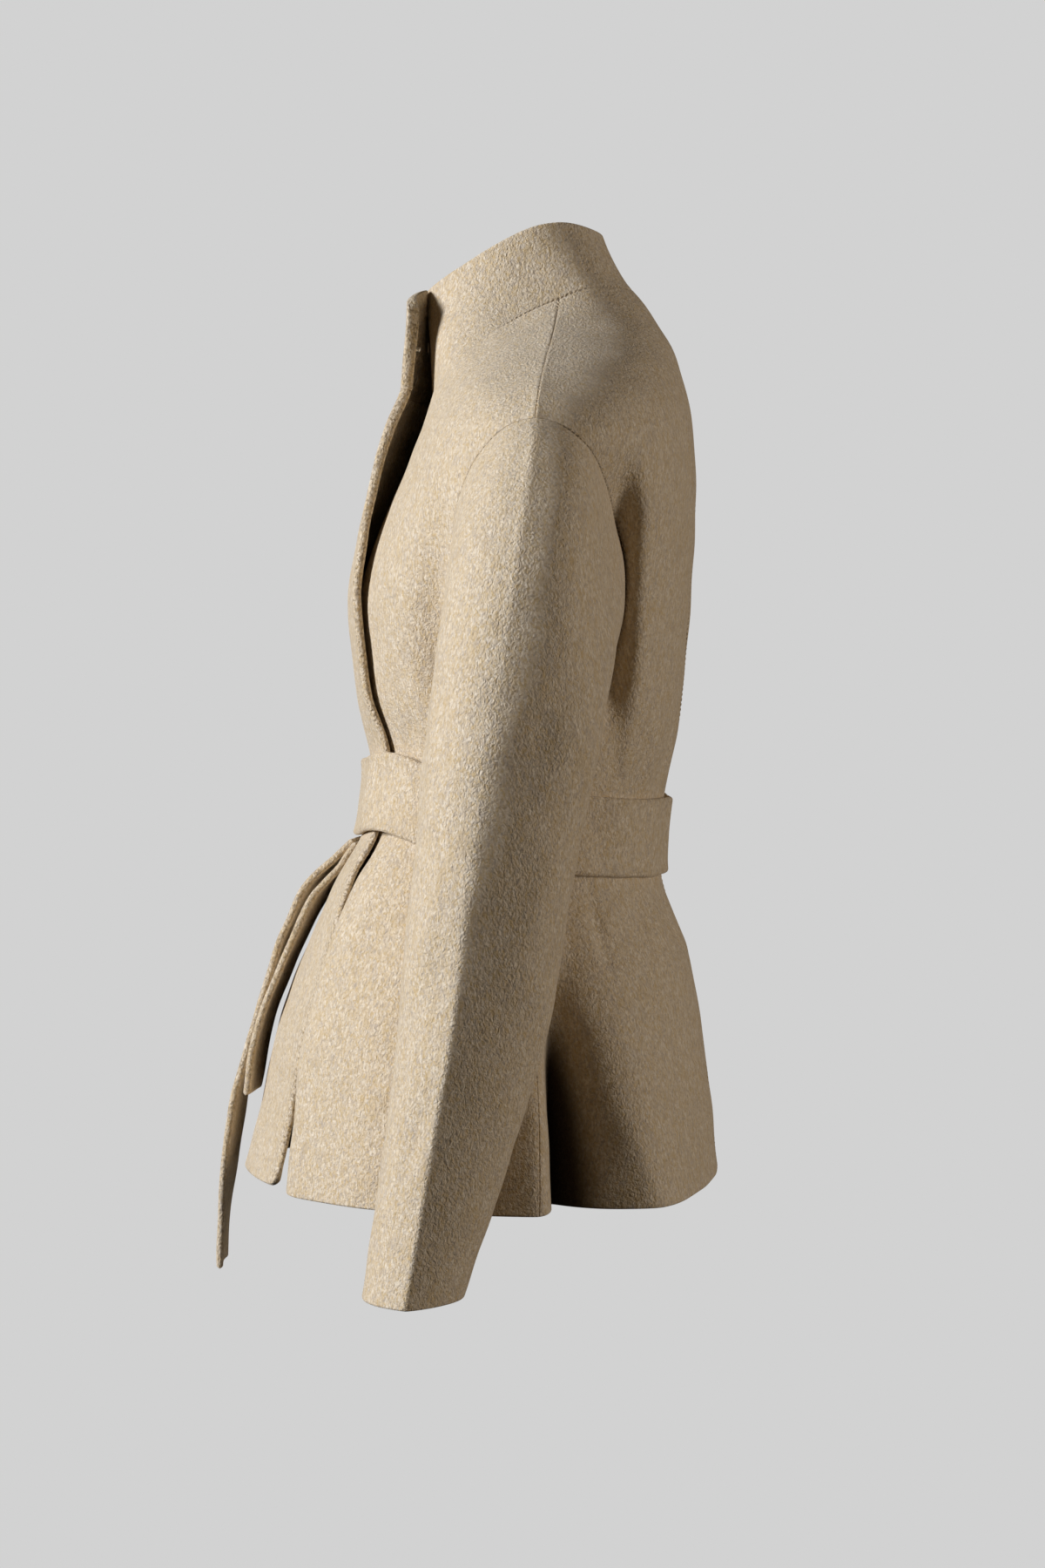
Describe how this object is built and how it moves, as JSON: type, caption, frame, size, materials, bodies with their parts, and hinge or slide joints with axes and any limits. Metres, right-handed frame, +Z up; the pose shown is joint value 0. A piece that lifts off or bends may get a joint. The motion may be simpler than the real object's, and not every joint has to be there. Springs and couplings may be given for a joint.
{
  "type": "belted coat",
  "caption": "Short belted wool coat with a stand collar, wrap front, dropped sleeves and flared skirt, held in its worn shape with the tie belt knotted.",
  "frame": {"origin": "base of the neck, in the middle of the collar's opening at the level of the neck seam over the shoulders", "axes": "+Z up, the wearer faces -Y, +X is the wearer's left"},
  "size_m": [0.622, 0.3546, 0.7228],
  "materials": {
    "wool": "brushed double-faced camel wool with a short nap",
    "snap_metal": "plain nickel-coloured metal"
  },
  "bodies": {
    "root": {"front_left": "wool", "front_right": "wool", "back_left": "wool", "back_right": "wool", "sleeve_left": "wool", "sleeve_right": "wool", "collar": "wool", "belt_band": "wool", "belt_knot": "wool", "belt_tail_long": "wool", "belt_tail_short": "wool", "snap_stud": "snap_metal", "snap_socket": "snap_metal"}
  },
  "joints": []
}
